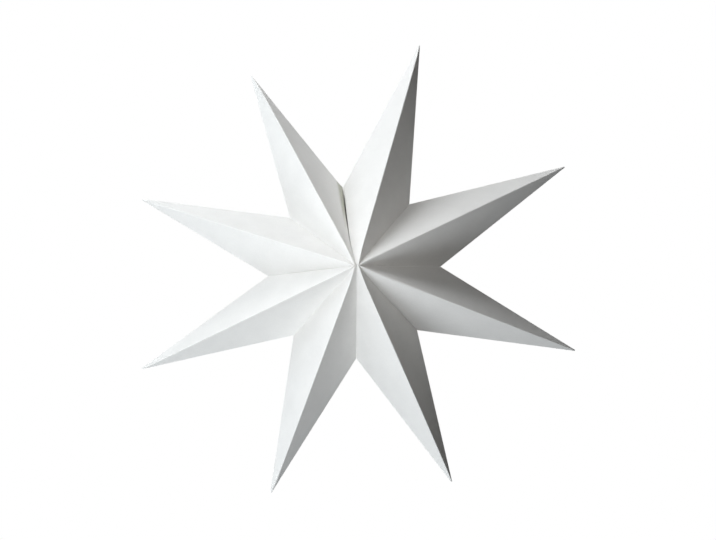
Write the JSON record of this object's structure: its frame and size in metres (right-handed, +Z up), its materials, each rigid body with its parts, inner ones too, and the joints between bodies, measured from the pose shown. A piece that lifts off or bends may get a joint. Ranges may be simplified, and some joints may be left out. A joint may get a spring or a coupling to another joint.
{
  "type": "folded paper star ornament",
  "caption": "Hollow pointed star folded from white card, ridged front and back, closed along one seam, with a hanging hole at the notch above the seam.",
  "frame": {"origin": "where the star's axis crosses its middle plane, the plane of its side creases", "axes": "+Z up through the seam and the hanging hole, -Y out of the star's front, Y along the star's axis"},
  "size_m": [0.5661, 0.1736, 0.5607],
  "materials": {
    "card": "matte uncoated white card, softly rounded at the folds",
    "hook_fastener": "low-profile white hook dot",
    "loop_fastener": "low-profile white loop dot"
  },
  "bodies": {
    "root": {"point_1": "card", "point_2": "card", "point_3": "card", "point_4": "card", "point_5": "card", "point_6": "card", "point_7": "card", "point_8": "card", "front_hook_dot": "hook_fastener", "front_loop_dot": "loop_fastener", "back_hook_dot": "hook_fastener", "back_loop_dot": "loop_fastener"}
  },
  "joints": []
}
